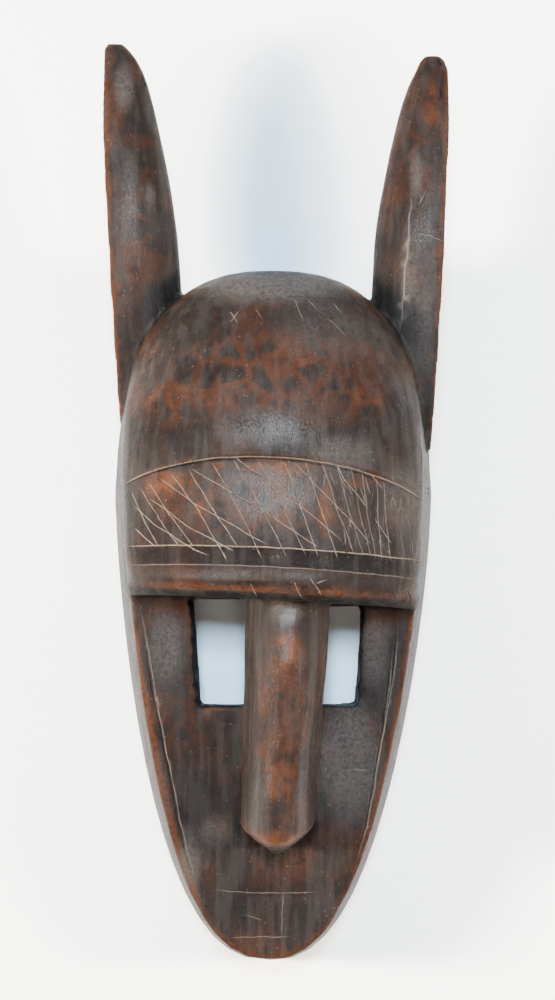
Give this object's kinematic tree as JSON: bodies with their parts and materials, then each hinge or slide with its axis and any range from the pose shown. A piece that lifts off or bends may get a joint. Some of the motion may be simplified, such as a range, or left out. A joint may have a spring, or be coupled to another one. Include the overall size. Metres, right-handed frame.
{
  "type": "suruku mask",
  "caption": "Carved wooden hyena mask with a domed forehead, cross-scratched overhanging brow, flat recessed face, long nose, rectangular eye holes and tall ears, lying face up.",
  "frame": {"origin": "under the middle of the mask's bounding box, in the plane of the back rim that it lies on", "axes": "+Z out of the face, +Y from the chin towards the ears, +X to the right as the face is looked at"},
  "size_m": [0.173, 0.4714, 0.119],
  "materials": {
    "stained_wood": "dark brown stain rubbed to a satin gloss"
  },
  "bodies": {
    "root": {"mask": "stained_wood"}
  },
  "joints": []
}
